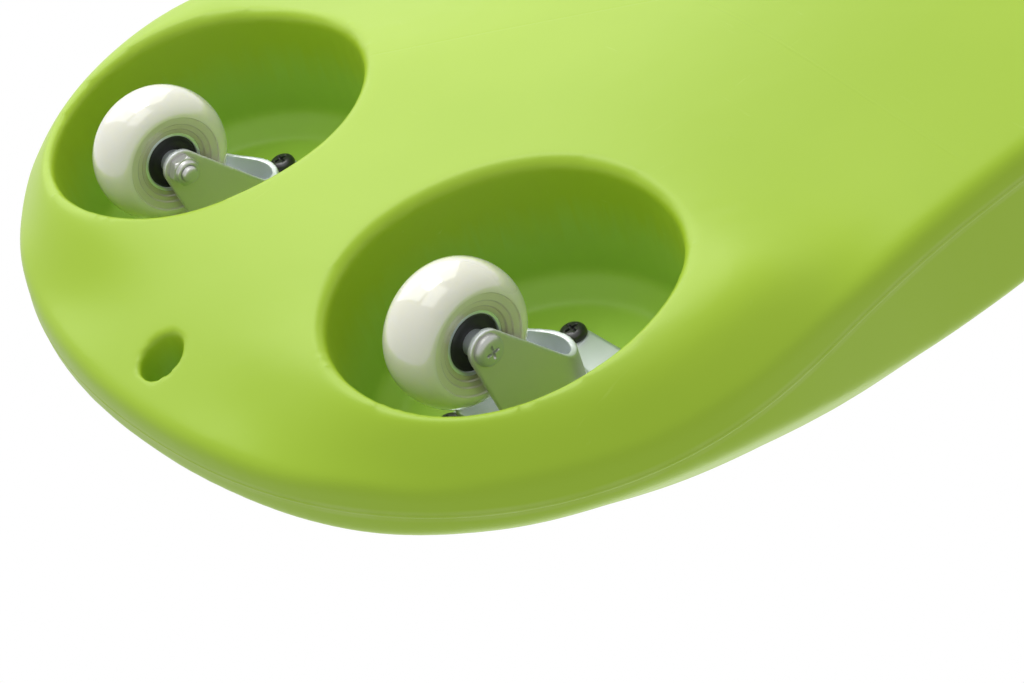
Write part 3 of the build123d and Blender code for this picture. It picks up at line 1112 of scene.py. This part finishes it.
LAMPS = (
    Lamp("softbox_key", (-0.08, 0.70, -1.41), 0.6, 5.0),
    Lamp("panel_behind", (-0.30, 1.30, -1.20), 2.2, 23.0),
    Lamp("softbox_below", (0.25, -0.05, -1.6), 1.0, 4.0),
    Lamp("overhead", (0.2, -0.3, 1.6), 1.6, 10.0),
)


@dataclass
class Studio:
    """The camera, the lamps, the white surroundings and the floor."""

    lens: float = 108.52
    sensor_width: float = 36.0
    near_clip: float = 0.01
    eye: Place = (0.5388, -0.8027, -0.5623)
    right: Direction = (-0.75265, -0.60053, 0.26996)
    up: Direction = (-0.55623, 0.36054, -0.74875)
    forward: Direction = (-0.35231, 0.71370, 0.60540)
    lamps: tuple[Lamp, ...] = LAMPS
    lamp_aim: Place = (0.0, 0.0, 0.04)
    fill: float = 0.56
    fill_colour: Colour = (0.94, 1.0, 1.03)
    floor_size: float = 6.0
    floor_z: float = -0.4 * MM
    floor_shade: float = 0.34
    floor_light: float = 0.95
    shade_reach: float = 0.24

    def build(self) -> None:
        """Sets up everything that isn't the object."""
        scene = bpy.context.scene
        scene.view_settings.view_transform = "Standard"
        self._camera(scene)
        self._surroundings(scene)
        for lamp in self.lamps:
            self._hang(lamp)
        self._floor()

    def _camera(self, scene: bpy.types.Scene) -> None:
        """Stands the camera where the photograph was taken from, by its right, up and forward directions.

        Args:
            scene: the scene it films.
        """
        data = bpy.data.cameras.new("photo_camera")
        data.sensor_width = self.sensor_width
        data.lens = self.lens
        data.clip_start = self.near_clip
        camera = bpy.data.objects.new("photo_camera", data)
        scene.collection.objects.link(camera)
        axes = Matrix((self.right, self.up, tuple(-v for v in self.forward))).transposed()
        camera.matrix_world = Matrix.Translation(Vector(self.eye)) @ axes.to_4x4()
        scene.camera = camera

    def _hang(self, lamp: Lamp) -> None:
        """Hangs a lamp so that it faces the board.

        Args:
            lamp: the lamp.
        """
        data = bpy.data.lights.new(lamp.name, "AREA")
        data.shape = "SQUARE"
        data.size = lamp.size
        data.energy = lamp.energy
        hung = bpy.data.objects.new(lamp.name, data)
        bpy.context.scene.collection.objects.link(hung)
        hung.location = lamp.place
        hung.rotation_mode = "QUATERNION"
        hung.rotation_quaternion = (Vector(self.lamp_aim) - Vector(lamp.place)).to_track_quat("-Z", "Y")

    def _surroundings(self, scene: bpy.types.Scene) -> None:
        """White surroundings for the eye and in reflections, and a softer even fill.

        Args:
            scene: the scene they belong to.
        """
        world = bpy.data.worlds.new("white_room")
        scene.world = world
        world.use_nodes = True
        world.node_tree.nodes.clear()
        shader = Shader(world.node_tree)
        path = shader.add("ShaderNodeLightPath")
        back = shader.add("ShaderNodeBackground")
        mirrored = shader.math("ADD", path.outputs["Is Glossy Ray"], path.outputs["Is Transmission Ray"])
        shown = shader.math("MINIMUM", shader.math("ADD", path.outputs["Is Camera Ray"], mirrored), 1.0)
        shader.join(shader.mix(shown, self.fill_colour, WHITE), back.inputs["Color"])
        shader.join(shader.math("MULTIPLY_ADD", shown, 1.0 - self.fill, self.fill), back.inputs["Strength"])
        output = shader.add("ShaderNodeOutputWorld")
        shader.join(back.outputs["Background"], output.inputs["Surface"])

    def _floor(self) -> None:
        """A pale floor: darker where the board keeps the light off it, and clear from below."""
        half = 0.5 * self.floor_size
        step = np.linspace(-half, half, 3)
        across, along = np.meshgrid(step, step, indexing="ij")
        level = np.full_like(along, self.floor_z)
        mesh = grid_mesh("studio_floor", [np.stack([across, along, level], axis=-1)], False)
        material = bpy.data.materials.new("pale_floor")
        material.use_nodes = True
        material.node_tree.nodes.clear()
        shader = Shader(material.node_tree)
        shaded = shader.add("ShaderNodeAmbientOcclusion", samples=16)
        shaded.inputs["Distance"].default_value = self.shade_reach
        paint = shader.add("ShaderNodeEmission")
        light = shader.span(shaded.outputs["AO"], 0.0, 1.0, self.floor_shade, self.floor_light)
        shader.join(light, paint.inputs["Strength"])
        clear = shader.add("ShaderNodeBsdfTransparent")
        turn = shader.add("ShaderNodeMixShader")
        shader.join(shader.add("ShaderNodeNewGeometry").outputs["Backfacing"], turn.inputs["Fac"])
        shader.join(paint.outputs["Emission"], turn.inputs[1])
        shader.join(clear.outputs["BSDF"], turn.inputs[2])
        output = shader.add("ShaderNodeOutputMaterial")
        shader.join(turn.outputs["Shader"], output.inputs["Surface"])
        floor = bpy.data.objects.new("studio_floor", mesh)
        mesh.materials.append(material)
        bpy.context.scene.collection.objects.link(floor)
        floor.visible_diffuse = False
        floor.visible_glossy = False
        floor.visible_transmission = False
        floor.visible_shadow = False


def make_finishes() -> dict[str, bpy.types.Material]:
    """Builds the materials.

    Returns:
        The materials by the name of their slot or use.
    """
    effects = Effects()
    lime, ivory = LIME_PLASTIC.make(effects), IVORY_WHEEL.make(effects)
    fork, plate, bolt = FORK_ZINC.make(effects), PLATE_ZINC.make(effects), BOLT_ZINC.make(effects)
    black, seal = BLACK_OXIDE.make(effects), SEAL_RUBBER.make(effects)
    return {
        "board_plastic": lime,
        "wheel_plastic": ivory,
        "fork_zinc": fork,
        "plate_zinc": plate,
        "pin_steel": plate,
        "bolt_zinc": bolt,
        "nut_zinc": bolt,
        "screw_black": black,
        "bearing_black": seal,
    }


def main() -> None:
    """Builds the board, its casters and the studio."""
    logging.basicConfig(level=logging.INFO, format="%(message)s")
    finishes = make_finishes()
    Board(finishes["board_plastic"]).build()
    for side in Side:
        Caster(side, finishes).build()
    Studio().build()


if __name__ == "__main__":
    main()
